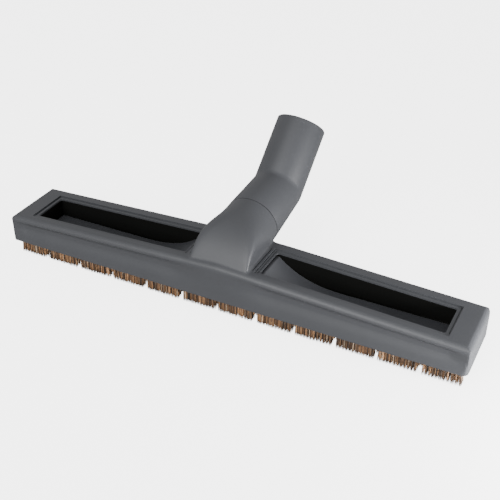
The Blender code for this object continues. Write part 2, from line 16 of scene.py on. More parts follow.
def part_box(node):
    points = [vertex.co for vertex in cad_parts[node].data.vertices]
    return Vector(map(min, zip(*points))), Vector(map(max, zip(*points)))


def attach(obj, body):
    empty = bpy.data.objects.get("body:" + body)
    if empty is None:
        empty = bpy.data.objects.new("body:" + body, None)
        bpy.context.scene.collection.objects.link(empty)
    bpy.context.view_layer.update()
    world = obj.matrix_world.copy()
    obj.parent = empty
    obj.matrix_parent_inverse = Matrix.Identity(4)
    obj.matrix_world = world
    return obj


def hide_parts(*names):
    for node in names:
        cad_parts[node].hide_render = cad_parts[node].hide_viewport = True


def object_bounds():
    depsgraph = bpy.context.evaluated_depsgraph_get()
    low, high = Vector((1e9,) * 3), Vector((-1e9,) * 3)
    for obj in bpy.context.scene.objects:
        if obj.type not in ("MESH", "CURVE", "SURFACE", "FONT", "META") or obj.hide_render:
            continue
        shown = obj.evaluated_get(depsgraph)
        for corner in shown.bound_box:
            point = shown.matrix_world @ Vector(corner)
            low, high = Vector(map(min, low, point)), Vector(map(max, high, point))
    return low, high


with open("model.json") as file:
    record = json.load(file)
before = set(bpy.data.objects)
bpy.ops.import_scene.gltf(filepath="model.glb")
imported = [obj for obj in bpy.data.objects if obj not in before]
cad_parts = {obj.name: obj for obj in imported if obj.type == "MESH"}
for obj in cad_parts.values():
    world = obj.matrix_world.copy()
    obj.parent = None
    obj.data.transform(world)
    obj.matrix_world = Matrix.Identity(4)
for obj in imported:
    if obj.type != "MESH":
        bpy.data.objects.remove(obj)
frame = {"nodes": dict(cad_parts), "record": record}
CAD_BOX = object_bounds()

LOG = logging.getLogger("brush_nozzle")
MM = 0.001
MERGE_DISTANCE = 0.002 * MM
WHITE = (1.0, 1.0, 1.0, 1.0)

Point = tuple[float, float, float]


class Side(Enum):
    """The two ends of the housing."""

    RIGHT = 1
    LEFT = -1


class Row(Enum):
    """The two rows of bristles, named as their CAD nodes are."""

    FRONT = "front"
    REAR = "rear"


ROW_SEEDS = {Row.FRONT: 7, Row.REAR: 11}
SCREW_KINDS = ("end", "duct")
SCREW_NODES = tuple(
    f"{kind}_screw_{side}_{depth}"
    for kind in SCREW_KINDS
    for side in ("right", "left")
    for depth in ("front", "rear")
)


# ---------------------------------------------------------------- helpers


def linear(hex_colour: str) -> tuple[float, float, float, float]:
    """Turn an sRGB hex colour to linear light.

    Args:
        hex_colour: Six hex digits, such as "707073".

    Returns:
        Red, green, blue and an alpha of 1.
    """
    out = []
    for i in (0, 2, 4):
        c = int(hex_colour[i : i + 2], 16) / 255
        out.append(c / 12.92 if c <= 0.04045 else ((c + 0.055) / 1.055) ** 2.4)
    return (out[0], out[1], out[2], 1.0)


def clamp(value: float) -> float:
    """Hold a value between 0 and 1."""
    return min(max(value, 0.0), 1.0)


def add_node(
    tree: bpy.types.NodeTree, kind: str, links: dict | None = None, **settings: object
) -> bpy.types.Node:
    """Add a node with its settings, socket values and links.

    Args:
        tree: The material's node tree.
        kind: The node's type.
        links: Socket name or index to a value, or to the output that feeds it.
        settings: The node's own properties.

    Returns:
        The new node.
    """
    node = tree.nodes.new(kind)
    for name, value in settings.items():
        setattr(node, name, value)
    for key, value in (links or {}).items():
        if isinstance(value, bpy.types.NodeSocket):
            tree.links.new(value, node.inputs[key])
        else:
            node.inputs[key].default_value = value
    return node


def start_material(name: str) -> tuple[bpy.types.Material, bpy.types.NodeTree, bpy.types.Node]:
    """Make a material that has only its shader.

    Args:
        name: The real material's name.

    Returns:
        The material, its node tree and its shader.
    """
    material = bpy.data.materials.new(name)
    material.use_nodes = True
    tree = material.node_tree
    return material, tree, tree.nodes["Principled BSDF"]


def clean_start() -> None:
    """Deselect everything before a primitive is added."""
    bpy.ops.object.select_all(action="DESELECT")


def only(obj: bpy.types.Object) -> None:
    """Deselect everything, then select one object and make it active.

    Args:
        obj: The object.
    """
    clean_start()
    obj.select_set(True)
    bpy.context.view_layer.objects.active = obj


def settle(obj: bpy.types.Object) -> bpy.types.Object:
    """Put an object's place, turn and scale into its mesh.

    Args:
        obj: The object.

    Returns:
        The same object.
    """
    only(obj)
    bpy.ops.object.transform_apply(location=True, rotation=True, scale=True)
    return obj


def apply_modifier(obj: bpy.types.Object, kind: str, **settings: object) -> None:
    """Add one modifier and apply it.

    Args:
        obj: The piece.
        kind: The modifier's type.
        settings: The modifier's own properties.
    """
    only(obj)
    modifier = obj.modifiers.new(kind.lower(), kind)
    for name, value in settings.items():
        setattr(modifier, name, value)
    bpy.ops.object.modifier_apply(modifier=modifier.name)


def cut(obj: bpy.types.Object, tool: bpy.types.Object, operation: str = "DIFFERENCE") -> None:
    """Cut with a tool or join it on. The tool is then removed."""
    apply_modifier(obj, "BOOLEAN", operation=operation, solver="EXACT", object=tool)
    bpy.data.objects.remove(tool, do_unlink=True)


def block(name: str, low: Sequence[float], high: Sequence[float]) -> bpy.types.Object:
    """Add a box with its place in its mesh.

    Args:
        name: The object's name.
        low: Its lowest corner.
        high: Its highest corner.

    Returns:
        The box.
    """
    clean_start()
    middle = [(a + b) / 2 for a, b in zip(low, high)]
    bpy.ops.mesh.primitive_cube_add(size=1.0, location=middle)
    obj = bpy.context.active_object
    obj.name = name
    obj.scale = [b - a for a, b in zip(low, high)]
    return settle(obj)


def drum(
    name: str, radius: float, depth: float, centre: Sequence[float], facets: int = 64
) -> bpy.types.Object:
    """Add an upright cylinder with its place in its mesh.

    Args:
        name: The object's name.
        radius: Its radius.
        depth: Its height.
        centre: Its middle.
        facets: How many flat faces go round it.

    Returns:
        The cylinder.
    """
    clean_start()
    bpy.ops.mesh.primitive_cylinder_add(vertices=facets, radius=radius, depth=depth, location=centre)
    obj = bpy.context.active_object
    obj.name = name
    return settle(obj)


def divide(obj: bpy.types.Object, axis: int, places: Sequence[float]) -> None:
    """Bisect a mesh with planes across one axis, keeping both sides.

    Args:
        obj: The piece.
        axis: 0, 1 or 2 for X, Y or Z.
        places: Where the planes cross the axis.
    """
    only(obj)
    bpy.ops.object.mode_set(mode="EDIT")
    normal = [0.0, 0.0, 0.0]
    normal[axis] = 1.0
    for place in places:
        point = [0.0, 0.0, 0.0]
        point[axis] = place
        bpy.ops.mesh.select_all(action="SELECT")
        bpy.ops.mesh.bisect(plane_co=point, plane_no=normal)
    bpy.ops.object.mode_set(mode="OBJECT")


def trim(obj: bpy.types.Object, point: Sequence[float], normal: Sequence[float]) -> None:
    """Cut off what lies past a plane and close the cut.

    Args:
        obj: The piece.
        point: A point on the plane.
        normal: The direction of what is cut off.
    """
    only(obj)
    bpy.ops.object.mode_set(mode="EDIT")
    bpy.ops.mesh.select_all(action="SELECT")
    bpy.ops.mesh.bisect(plane_co=point, plane_no=normal, clear_outer=True, use_fill=True)
    bpy.ops.object.mode_set(mode="OBJECT")


def round_uprights(obj: bpy.types.Object, radius: float) -> None:
    """Round a block's four upright edges.

    Args:
        obj: The block.
        radius: Radius of the rounding.
    """
    only(obj)
    bpy.ops.object.mode_set(mode="EDIT")
    bpy.ops.mesh.select_mode(type="EDGE")
    bpy.ops.mesh.select_all(action="DESELECT")
    bm = bmesh.from_edit_mesh(obj.data)
    for edge in bm.edges:
        a, b = edge.verts
        if abs(a.co.z - b.co.z) > radius:
            edge.select = True
    bm.select_flush(True)
    bmesh.update_edit_mesh(obj.data)
    bpy.ops.mesh.bevel(offset=radius, segments=8, affect="EDGES", clamp_overlap=True)
    bpy.ops.mesh.select_mode(type="VERT")
    bpy.ops.object.mode_set(mode="OBJECT")


def reshape(obj: bpy.types.Object, rule: Callable[[Vector], Sequence[float]]) -> None:
    """Move every vertex.

    Args:
        obj: The piece.
        rule: Gives a vertex's new place from its old one.
    """
    for vertex in obj.data.vertices:
        vertex.co = rule(vertex.co.copy())
    obj.data.update()


def outward(obj: bpy.types.Object) -> None:
    """Merge doubles, and turn the mesh right side out if it is inside out.

    Args:
        obj: The piece.
    """
    bm = bmesh.new()
    bm.from_mesh(obj.data)
    bmesh.ops.remove_doubles(bm, verts=bm.verts, dist=MERGE_DISTANCE)
    if bm.calc_volume(signed=True) < 0:
        bmesh.ops.reverse_faces(bm, faces=bm.faces)
    bm.to_mesh(obj.data)
    bm.free()


def smooth(obj: bpy.types.Object, degrees: float) -> None:
    """Shade smooth where faces meet at less than an angle."""
    only(obj)
    bpy.ops.object.shade_smooth_by_angle(angle=math.radians(degrees))


def dress(obj: bpy.types.Object, material: bpy.types.Material) -> None:
    """Give a whole piece one material."""
    obj.data.materials.clear()
    obj.data.materials.append(material)


def plan_middle(low: Vector, high: Vector) -> tuple[float, float]:
    """Give x and y of the middle of a box."""
    return (low.x + high.x) / 2, (low.y + high.y) / 2


def register(obj: bpy.types.Object, body: str, slot: str, *nodes: str) -> bpy.types.Object:
    """Hand a finished piece to the frame and report it.

    Args:
        obj: The finished piece.
        body: The CAD body that it rides on.
        slot: The record's material slot; not used.
        nodes: The CAD nodes that it stands for.

    Returns:
        The same piece.
    """
    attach(obj, body)
    if nodes:
        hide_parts(*nodes)
    triangles = sum(len(p.vertices) - 2 for p in obj.data.polygons)
    LOG.info("%s: %d triangles on %s", obj.name, triangles, body)
    return obj


# ---------------------------------------------------------------- finishes


@dataclass(frozen=True)
class MouldedPlastic:
    """A moulded polymer with a spark-eroded grain, which scatters its highlights a little."""

    name: str
    colour: str
    shade: str
    roughness: float
    ior: float
    grain_mm: float
    relief_mm: float
    gloss: float = 0.5
    cloud_mm: float = 25.0
    unevenness: float = 0.06

    def make(self) -> bpy.types.Material:
        """Build the material on Object coordinates.

        Returns:
            The material.
        """
        material, tree, shader = start_material(self.name)
        place = add_node(tree, "ShaderNodeTexCoord").outputs["Object"]
        # Colour wanders slowly, as pigment does in a moulding.
        cloud = add_node(
            tree, "ShaderNodeTexNoise",
            {"Vector": place, "Scale": 1.0 / (self.cloud_mm * MM), "Detail": 3.0},
        )
        # Each pit of the grain is one cell; the real pits are finer than this and wouldn't show.
        pits = add_node(
            tree, "ShaderNodeTexNoise",
            {"Vector": place, "Scale": 1.0 / (self.grain_mm * MM), "Detail": 2.0, "Roughness": 0.6},
        )
        mix = add_node(
            tree, "ShaderNodeMix",
            {0: cloud.outputs["Fac"], 6: linear(self.colour), 7: linear(self.shade)},
            data_type="RGBA",
        )
        tree.links.new(mix.outputs[2], shader.inputs["Base Color"])
        least, most = self.roughness - self.unevenness, self.roughness + self.unevenness
        rough = add_node(
            tree, "ShaderNodeMapRange", {"Value": pits.outputs["Fac"], "To Min": least, "To Max": most}
        )
        tree.links.new(rough.outputs["Result"], shader.inputs["Roughness"])
        bump = add_node(
            tree, "ShaderNodeBump",
            {"Height": pits.outputs["Fac"], "Distance": self.relief_mm * MM, "Strength": 1.0},
        )
        tree.links.new(bump.outputs["Normal"], shader.inputs["Normal"])
        shader.inputs["IOR"].default_value = self.ior
        shader.inputs["Specular IOR Level"].default_value = self.gloss
        return material


@dataclass(frozen=True)
class Horsehair:
    """Natural horsehair in mixed browns: each hair has its own colour and a dull waxy sheen.

    The coat is each brown's sRGB colour with its share of the hairs. The last is the pale one.
    """

    name: str = "horsehair_natural"
    attribute: str = "hair_colour"
    roughness: float = 0.55
    ior: float = 1.55
    coat: tuple[tuple[str, float], ...] = (
        ("a27a55", 0.2), ("7d5a3c", 0.27), ("5a412b", 0.22),
        ("38291c", 0.16), ("1f1711", 0.13), ("c9bba3", 0.02),
    )

    def make(self) -> bpy.types.Material:
        """Build the material on the hairs' own colour attribute.

        Returns:
            The material.
        """
        material, tree, shader = start_material(self.name)
        hair = add_node(tree, "ShaderNodeAttribute", attribute_name=self.attribute)
        tree.links.new(hair.outputs["Color"], shader.inputs["Base Color"])
        shader.inputs["Roughness"].default_value = self.roughness
        shader.inputs["IOR"].default_value = self.ior
        return material


@dataclass(frozen=True)
class PressedFelt:
    """Pressed wool felt: matt, with short fibres that break up its surface."""

    name: str = "felt_pressed_wool"
    colour: str = "2e2d2b"
    shade: str = "1c1b1a"
    fibre_mm: float = 0.5
    relief_mm: float = 0.15
    roughness: float = 0.95

    def make(self) -> bpy.types.Material:
        """Build the material on Object coordinates.

        Returns:
            The material.
        """
        material, tree, shader = start_material(self.name)
        place = add_node(tree, "ShaderNodeTexCoord").outputs["Object"]
        fibres = add_node(
            tree, "ShaderNodeTexNoise",
            {"Vector": place, "Scale": 1.0 / (self.fibre_mm * MM), "Detail": 4.0},
        )
        mix = add_node(
            tree, "ShaderNodeMix",
            {0: fibres.outputs["Fac"], 6: linear(self.colour), 7: linear(self.shade)},
            data_type="RGBA",
        )
        tree.links.new(mix.outputs[2], shader.inputs["Base Color"])
        bump = add_node(
            tree, "ShaderNodeBump", {"Height": fibres.outputs["Fac"], "Distance": self.relief_mm * MM}
        )
        tree.links.new(bump.outputs["Normal"], shader.inputs["Normal"])
        shader.inputs["Roughness"].default_value = self.roughness
        return material


@dataclass(frozen=True)
class ZincPlate:
    """Bright zinc plate on steel: metallic, with cloudy patches of different gloss."""

    name: str = "steel_zinc_plated"
    colour: str = "c9cacc"
    patch_mm: float = 1.2
    bright_roughness: float = 0.22
    dull_roughness: float = 0.42

    def make(self) -> bpy.types.Material:
        """Build the material on Object coordinates.

        Returns:
            The material.
        """
        material, tree, shader = start_material(self.name)
        place = add_node(tree, "ShaderNodeTexCoord").outputs["Object"]
        patch = add_node(
            tree, "ShaderNodeTexNoise",
            {"Vector": place, "Scale": 1.0 / (self.patch_mm * MM), "Detail": 3.0},
        )
        rough = add_node(
            tree, "ShaderNodeMapRange",
            {"Value": patch.outputs["Fac"], "To Min": self.bright_roughness, "To Max": self.dull_roughness},
        )
        tree.links.new(rough.outputs["Result"], shader.inputs["Roughness"])
        shader.inputs["Base Color"].default_value = linear(self.colour)
        shader.inputs["Metallic"].default_value = 1.0
        return material


# ---------------------------------------------------------------- housing and neck


@dataclass
class Neck:
    """Shape of the neck: a boxy front that becomes the round collar.

    Its axis runs back and slightly up, and ends at the collar's mouth. The boxiness is the power of
    its section at the lip; squaring and rounding say how late it turns boxy and rises to the lip.
    """

    mouth: Vector
    tilt: float = math.radians(7.9)
    collar_radius: float = 21.0 * MM
    collar_length: float = 8.0 * MM
    front_half_width: float = 22.8 * MM
    boxiness: float = 14.0
    squaring: float = 3.0
    rounding: float = 3.3
    facets: int = 96
    steps: int = 28

    def frame(self) -> Matrix:
        """Matrix whose +Z is the axis towards the back and whose -Y is up."""
        return Matrix.Translation(self.mouth) @ Matrix.Rotation(self.tilt - math.pi / 2, 4, "X")

    def body(
        self, name: str, start: float, stop: float, wall: float, end: tuple[float, float]
    ) -> bpy.types.Object:
        """Make the neck's solid between two distances before the mouth.

        Args:
            name: The object's name.
            start: Distance at its back end; negative is past the mouth.
            stop: Distance at its front end.
            wall: How far it is drawn in from the outer surface.
            end: Distance and rise of the neck's top line where it meets the lip.

        Returns:
            A closed solid, round at the back and boxy at the front.
        """
        obj = drum(name, 1.0, 1.0, (0, 0, 0.5), self.facets)
        divide(obj, 2, [i / self.steps for i in range(1, self.steps)])
        length, end_rise = end
        matrix = self.frame()

        def rule(v: Vector) -> Vector:
            distance = start + (stop - start) * v.z
            share = clamp(distance / length)
            angle = math.atan2(v.y, v.x)
            reach = math.hypot(v.x, v.y)
            half = self.collar_radius + (self.front_half_width - self.collar_radius) * share - wall
            rise = self.collar_radius + (end_rise - self.collar_radius) * share**self.rounding - wall
            fall = self.collar_radius - wall
            power = 2 / (2 + (self.boxiness - 2) * share**self.squaring)
            across, up = math.cos(angle), math.sin(angle)
            x = half * math.copysign(abs(across) ** power, across) * reach
            y = (rise if up > 0 else fall) * math.copysign(abs(up) ** power, up) * reach
            return matrix @ Vector((x, -y, -distance))

        reshape(obj, rule)
        outward(obj)
        return obj


@dataclass
class Housing:
    """The grey top cover with its neck, windows, sunk borders and bosses."""

    plastic: bpy.types.Material
    depth: float = 52.5 * MM
    end_height: float = 20.9 * MM
    roof_rise: float = 7.4 * MM
    wall: float = 2.0 * MM
    neck_wall: float = 1.2 * MM
    collar_wall: float = 2.4 * MM
    # How far solids run past a face that is trimmed, and how far cutters stand above the top.
    overrun: float = 6.0 * MM
    cutter_height: float = 30.0 * MM
    # The section's roundings, and how far its front and rear lean in.
    lip_radius: float = 4.2 * MM
    rear_radius: float = 2.2 * MM
    corner_radius: float = 4.2 * MM
    least_radius: float = 0.4 * MM
    draft: float = 1.3 * MM
    rear_draft: float = 0.5 * MM
    # The front leans in up to lean_share of its height, and is hollow from hollow_foot up.
    lean_share: float = 0.6
    lean_ease: float = 0.8
    hollow: float = 2.0 * MM
    hollow_foot: float = 0.1
    hollow_ease: float = 2.4
    # It starts hollow_start from the middle, grows over hollow_fade and dies out over hollow_end.
    hollow_start: float = 8.0 * MM
    hollow_fade: float = 30.0 * MM
    hollow_end: float = 14.0 * MM
    front_steps: int = 12
    lip_steps: int = 10
    corner_steps: int = 8
    bays: int = 24
    bays_share: float = 0.965
    # The neck's blend into the top, and the mesh that carries it.
    blend_half: float = 26.0 * MM
    blend_fade: float = 8.0 * MM
    blend_above: float = 12.0 * MM
    voxel: float = 0.95 * MM
    kept_share: float = 0.32
    # Windows: their border, and the grooves and steps round them as distances from their edges.
    window_length: float = 131.3 * MM
    window_corner: float = 2.0 * MM
    border_width: float = 3.4 * MM
    border_depth: float = 0.9 * MM
    edge_break: float = 0.35 * MM
    end_groove: tuple[float, float] = (2.2 * MM, 3.5 * MM)
    end_groove_front: float = 0.3 * MM
    end_groove_depth: float = 1.6 * MM
    rear_groove: tuple[float, float] = (40.0 * MM, 3.0 * MM)
    rear_groove_gap: float = 2.6 * MM
    rear_groove_depth: float = 1.2 * MM
    neck_steps: tuple[float, ...] = (5.4 * MM, 3.4 * MM, 1.5 * MM)
    step_front: float = 1.5 * MM
    step_rear: float = 2.2 * MM
    step_width: float = 0.55 * MM
    step_depth: float = 1.55 * MM
    # Bosses: their feet are this far above the underside of the inner frame, or of the duct screws.
    boss_radius: float = 3.0 * MM
    pilot_radius: float = 1.6 * MM
    end_boss_foot: float = 2.4 * MM
    duct_boss_foot: float = 3.6 * MM
    pilot_spare: float = 0.3 * MM
    sharp_angle: float = 28.0

    def __post_init__(self) -> None:
        """Read where the housing and its windows lie from the CAD nodes."""
        low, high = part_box("top_cover")
        duct_low, duct_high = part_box("duct_cover")
        self.half = high.x
        self.bottom = low.z
        self.middle = low.y + self.depth / 2
        self.outer = duct_high.x
        self.inner = self.outer - self.window_length
        self.front_edge = duct_low.y
        self.back_edge = duct_high.y
        shelf_low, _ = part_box("inner_frame")
        self.shelf = shelf_low.z
        joint = next(j for j in frame["record"]["behaviour"]["joints"] if j["name"] == "elbow_swivel")
        self.neck = Neck(Vector(joint["pos_m"]))

    def roof(self, x: float) -> float:
        """Height of the top at x: two straight slopes that meet in the middle."""
        return self.bottom + self.end_height + self.roof_rise * (1 - abs(x) / self.half)

    def neck_end(self) -> tuple[float, float]:
        """Find where the neck's top line meets the front lip.

        Returns:
            Distance along the neck's axis, and rise above it.
        """
        lip_y = self.middle - self.depth / 2 + self.draft + self.lip_radius
        dy = lip_y - self.neck.mouth.y
        dz = self.roof(0.0) - self.neck.mouth.z
        c, s = math.cos(self.neck.tilt), math.sin(self.neck.tilt)
        return -(dy * c + dz * s), -dy * s + dz * c

    def section(self, x: float, inset: float, below: float) -> list[tuple[float, float]]:
        """List the cross section's points at x, from the front's foot over the top to the rear's foot.

        Args:
            x: Distance from the middle.
            inset: How far the section is drawn in.
            below: How far it runs past the bottom edge.

        Returns:
            Pairs of y and z.
        """
        top = self.roof(x) - inset
        front = self.middle - self.depth / 2 + inset
        back = self.middle + self.depth / 2 - inset
        lip = max(self.lip_radius - inset, self.least_radius)
        rear = max(self.rear_radius - inset, self.least_radius)
        # The hollow under the lip fades out below the neck and towards the corners.
        grown = clamp((abs(x) - self.hollow_start) / self.hollow_fade)
        hollow = self.hollow * (grown * clamp((self.half - abs(x)) / self.hollow_end))
        points = [(front, self.bottom - below)]
        start = top - lip
        for i in range(self.front_steps + 1):
            share = i / self.front_steps
            lean = self.draft * min(share / self.lean_share, 1.0) ** self.lean_ease
            up = max((share - self.hollow_foot) / (1 - self.hollow_foot), 0.0)
            scoop = hollow * math.sin(math.pi * up**self.hollow_ease)
            points.append((front + lean + scoop, self.bottom + (start - self.bottom) * share))
        for i in range(1, self.lip_steps + 1):
            angle = math.pi / 2 * i / self.lip_steps
            y = front + self.draft + lip * (1 - math.cos(angle))
            points.append((y, top - lip * (1 - math.sin(angle))))
        for i in range(self.corner_steps + 1):
            angle = math.pi / 2 * (1 - i / self.corner_steps)
            y = back - self.rear_draft - rear * (1 - math.cos(angle))
            points.append((y, top - rear * (1 - math.sin(angle))))
        points.append((back, self.bottom - below))
        return points

    def shell(self, name: str, inset: float, below: float) -> bpy.types.Object:
        """Make the housing's bar, drawn in by an inset.

        Args:
            name: The object's name.
            inset: Distance inside the outer surface.
            below: How far it runs past the bottom edge.

        Returns:
            A closed solid with its lip, rear edge and corners rounded.
        """
        half = self.half - inset
        radius = max(self.corner_radius - inset / 2, MM)
        ends = []
        for i in range(self.corner_steps + 1):
            angle = math.pi / 2 * (1 - i / self.corner_steps)
            ends.append((half - radius * (1 - math.sin(angle)), radius * (1 - math.cos(angle))))
        inner = [(half * (1 - i / self.bays) * self.bays_share, 0.0) for i in range(1, self.bays)]
        # Each station is a place along the width and how far the section is drawn in there.
        right = sorted(ends + inner, reverse=True)
        stations = [(-x, d) for x, d in right] + [(0.0, 0.0)] + right[::-1]
        spans = len(stations) - 1
        count = len(self.section(0.0, inset, below))
        obj = drum(name, 1.0, float(spans), (0, 0, spans / 2), count)
        divide(obj, 2, [float(i) for i in range(1, spans)])

        def rule(v: Vector) -> Vector:
            x, drawn = stations[round(v.z)]
            index = round(math.atan2(v.y, v.x) / (2 * math.pi) * count) % count
            y, z = self.section(x, inset + drawn if inset else 0.0, below)[index]
            if not inset and drawn:
                y = max(y, self.middle - self.depth / 2 + drawn)
                y = min(y, self.middle + self.depth / 2 - drawn)
                z = min(z, self.roof(x) - drawn)
            return Vector((x, y, z))

        reshape(obj, rule)
        outward(obj)
        return obj

    def prism(
        self, name: str, x: tuple[float, float], y: tuple[float, float], under: float
    ) -> bpy.types.Object:
        """Make a cutter over the top whose underside follows the slope.

        Args:
            name: The object's name.
            x: Its two ends, in any order.
            y: Its front and rear.
            under: How deep it cuts into the top.

        Returns:
            The cutter.
        """
        above = self.roof(0.0) + self.cutter_height
        obj = block(name, (min(x), y[0], 0.0), (max(x), y[1], 1.0))
        reshape(obj, lambda v: Vector((v.x, v.y, above if v.z > 0.5 else self.roof(v.x) - under)))
        return obj

    def build(self) -> bpy.types.Object:
        """Make the whole top cover.

        Returns:
            The finished piece.
        """
        obj = self.shell("housing_cover", 0.0, self.overrun)
        length, rise = self.neck_end()
        cut(obj, self.neck.body("neck_outside", -self.overrun, length, 0.0, (length, rise)), "UNION")
        obj.data.remesh_voxel_size = self.voxel
        only(obj)
        bpy.ops.object.voxel_remesh()
        self.soften(obj)
        self.open_up(obj, length, rise)
        for side in Side:
            self.cut_window(obj, side)
        self.add_bosses(obj)
        outward(obj)
        smooth(obj, self.sharp_angle)
        apply_modifier(obj, "WEIGHTED_NORMAL", keep_sharp=True, weight=50)
        dress(obj, self.plastic)
        return register(obj, "housing", "grey_housing", "top_cover")

    def soften(self, obj: bpy.types.Object) -> None:
        """Blend the neck into the top, as the mould's radius does, and thin out flat areas.

        Args:
            obj: The closed cover.
        """
        group = obj.vertex_groups.new(name="blend")
        for v in obj.data.vertices:
            reach = max(0.0, 1.0 - max(abs(v.co.x) - self.blend_half, 0.0) / self.blend_fade)
            if reach > 0 and v.co.z > self.bottom + self.blend_above:
                group.add([v.index], reach, "REPLACE")
        apply_modifier(obj, "SMOOTH", factor=0.5, iterations=14, vertex_group="blend")
        apply_modifier(obj, "DECIMATE", decimate_type="COLLAPSE", ratio=self.kept_share)

    def open_up(self, obj: bpy.types.Object, length: float, rise: float) -> None:
        """Cut the bottom edge, the collar's mouth, the inside and the collar's bore.

        Args:
            obj: The closed cover.
            length: Distance along the neck's axis to the front lip.
            rise: The lip's rise above that axis.
        """
        trim(obj, (0, 0, self.bottom), (0, 0, -1))
        axis = self.neck.frame().to_3x3() @ Vector((0, 0, 1))
        trim(obj, self.neck.mouth, axis)
        cut(obj, self.shell("housing_inside", self.wall, 2 * self.wall))
        collar = self.neck.collar_length
        front = length - 2 * self.wall
        cut(obj, self.neck.body("neck_inside", collar, front, self.neck_wall, (length, rise)))
        radius = self.neck.collar_radius - self.collar_wall
        depth = collar + 2 * self.wall
        bore = drum("collar_bore", radius, depth, (0, 0, -(depth / 2) + self.wall), self.neck.facets)
        bore.data.transform(self.neck.frame())
        cut(obj, bore)

    def cut_window(self, obj: bpy.types.Object, side: Side) -> None:
        """Cut one window, its sunk border, the grooves and the steps beside the neck.

        Args:
            obj: The cover.
            side: The window's side.
        """
        way = side.value
        inner, outer = way * self.inner, way * self.outer
        w, grow = self.border_width, self.edge_break
        y_low, y_high = self.front_edge, self.back_edge
        border = (inner - way * w, outer + way * w)
        cut(obj, self.prism("border", border, (y_low - w, y_high + w), self.border_depth))
        groove = tuple(outer + way * edge for edge in self.end_groove)
        front = y_low - self.end_groove_front
        cut(obj, self.prism("end_groove", groove, (front, y_high + w), self.end_groove_depth))
        groove = (inner + way * self.rear_groove[0], outer + way * self.rear_groove[1])
        rear = (y_high + self.rear_groove_gap, y_high + w)
        cut(obj, self.prism("rear_groove", groove, rear, self.rear_groove_depth))
        for offset in self.neck_steps:
            step = (inner - way * offset, inner - way * (offset - self.step_width))
            y = (y_low - self.step_front, y_high + self.step_rear)
            cut(obj, self.prism("step", step, y, self.step_depth))
        chamfer = (inner - way * grow, outer + way * grow)
        cut(obj, self.prism("edge_break", chamfer, (y_low - grow, y_high + grow), self.border_depth + grow))
        low, high = sorted((inner, outer))
        # The hole starts a little above the inner frame's underside and ends well above the housing.
        hole = block("window", (low, y_low, self.shelf + 3 * MM), (high, y_high, 90 * MM))
        round_uprights(hole, self.window_corner)
        cut(obj, hole)

    def add_bosses(self, obj: bpy.types.Object) -> None:
        """Hang a screw boss with its pilot hole over each screw.

        Args:
            obj: The cover.
        """
        for name in SCREW_NODES:
            low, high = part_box(name)
            x, y = plan_middle(low, high)
            if name.startswith("end"):
                start = self.shelf + self.end_boss_foot
            else:
                start = low.z + self.duct_boss_foot
            stop = self.roof(abs(x) + self.boss_radius) - self.wall / 2
            boss = drum("boss", self.boss_radius, stop - start, (x, y, (start + stop) / 2), 32)
            cut(obj, boss, "UNION")
            top = high.z + self.pilot_spare
            pilot = drum("pilot", self.pilot_radius, top - start + MM, (x, y, (start - MM + top) / 2), 24)
            cut(obj, pilot)


# ---------------------------------------------------------------- duct cover


@dataclass
class DuctCover:
    """The grey floor of both wells, with hollow ramps up to the throat."""

    plastic: bpy.types.Material
    housing: Housing
    sheet: float = 1.6 * MM
    floor_top: float = 6.3 * MM
    ramp_length: float = 56.0 * MM
    ramp_gap: float = 1.6 * MM
    ramp_steps: int = 44
    top_drop: float = 3.8 * MM
    hollow: float = 2.9
    throat: float = 19.5 * MM
    wall_drop: float = 0.3 * MM
    hole_radius: float = 1.6 * MM
    edge_break: float = 0.28 * MM
    edge_angle: float = 40.0
    sharp_angle: float = 30.0

    def __post_init__(self) -> None:
        """Read the cover's box, and find the ramps' heads and the flat beside the throat."""
        self.low, self.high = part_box("duct_cover")
        self.head = self.housing.inner + self.ramp_gap
        self.flange_top = self.housing.roof(self.housing.inner) - self.top_drop

    def height(self, x: float) -> float:
        """Find the height of the upper side.

        Args:
            x: Distance from the middle.

        Returns:
            Its height: the flat, the hollow ramp or the floor.
        """
        share = clamp((self.head + self.ramp_length - abs(x)) / self.ramp_length)
        floor = self.housing.bottom + self.floor_top
        return floor + (self.flange_top - floor) * share**self.hollow

    def half(self, side: Side) -> bpy.types.Object:
        """Make one side: a sheet bent into floor, ramp and flange.

        Args:
            side: Which side.

        Returns:
            The bent sheet.
        """
        way = side.value
        x = sorted((way * self.throat, way * self.high.x))
        obj = block("duct_half", (x[0], self.low.y, 0.0), (x[1], self.high.y, 1.0))
        steps = self.ramp_steps
        divide(obj, 0, [way * (self.head + self.ramp_length * i / steps) for i in range(steps + 1)])
        reshape(obj, lambda v: Vector((v.x, v.y, self.height(v.x) - (0.0 if v.z > 0.5 else self.sheet))))
        return obj

    def build(self) -> bpy.types.Object:
        """Make the whole duct cover.

        Returns:
            The finished piece.
        """
        low, high = self.low, self.high
        obj = self.half(Side.RIGHT)
        obj.name = "duct_ramps"
        cut(obj, self.half(Side.LEFT), "UNION")
        top = self.flange_top - self.wall_drop
        for y in ((low.y, low.y + self.sheet), (high.y - self.sheet, high.y)):
            cut(obj, block("throat_wall", (-self.head, y[0], low.z), (self.head, y[1], top)), "UNION")
        for name in SCREW_NODES:
            if name.startswith("duct"):
                centre = (*plan_middle(*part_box(name)), self.flange_top)
                cut(obj, drum("screw_hole", self.hole_radius, 5 * self.sheet, centre, 24))
        outward(obj)
        limit = math.radians(self.edge_angle)
        apply_modifier(
            obj, "BEVEL", width=self.edge_break, segments=2, limit_method="ANGLE", angle_limit=limit
        )
        smooth(obj, self.sharp_angle)
        dress(obj, self.plastic)
        return register(obj, "housing", "grey_housing", "duct_cover")


# ---------------------------------------------------------------- elbow


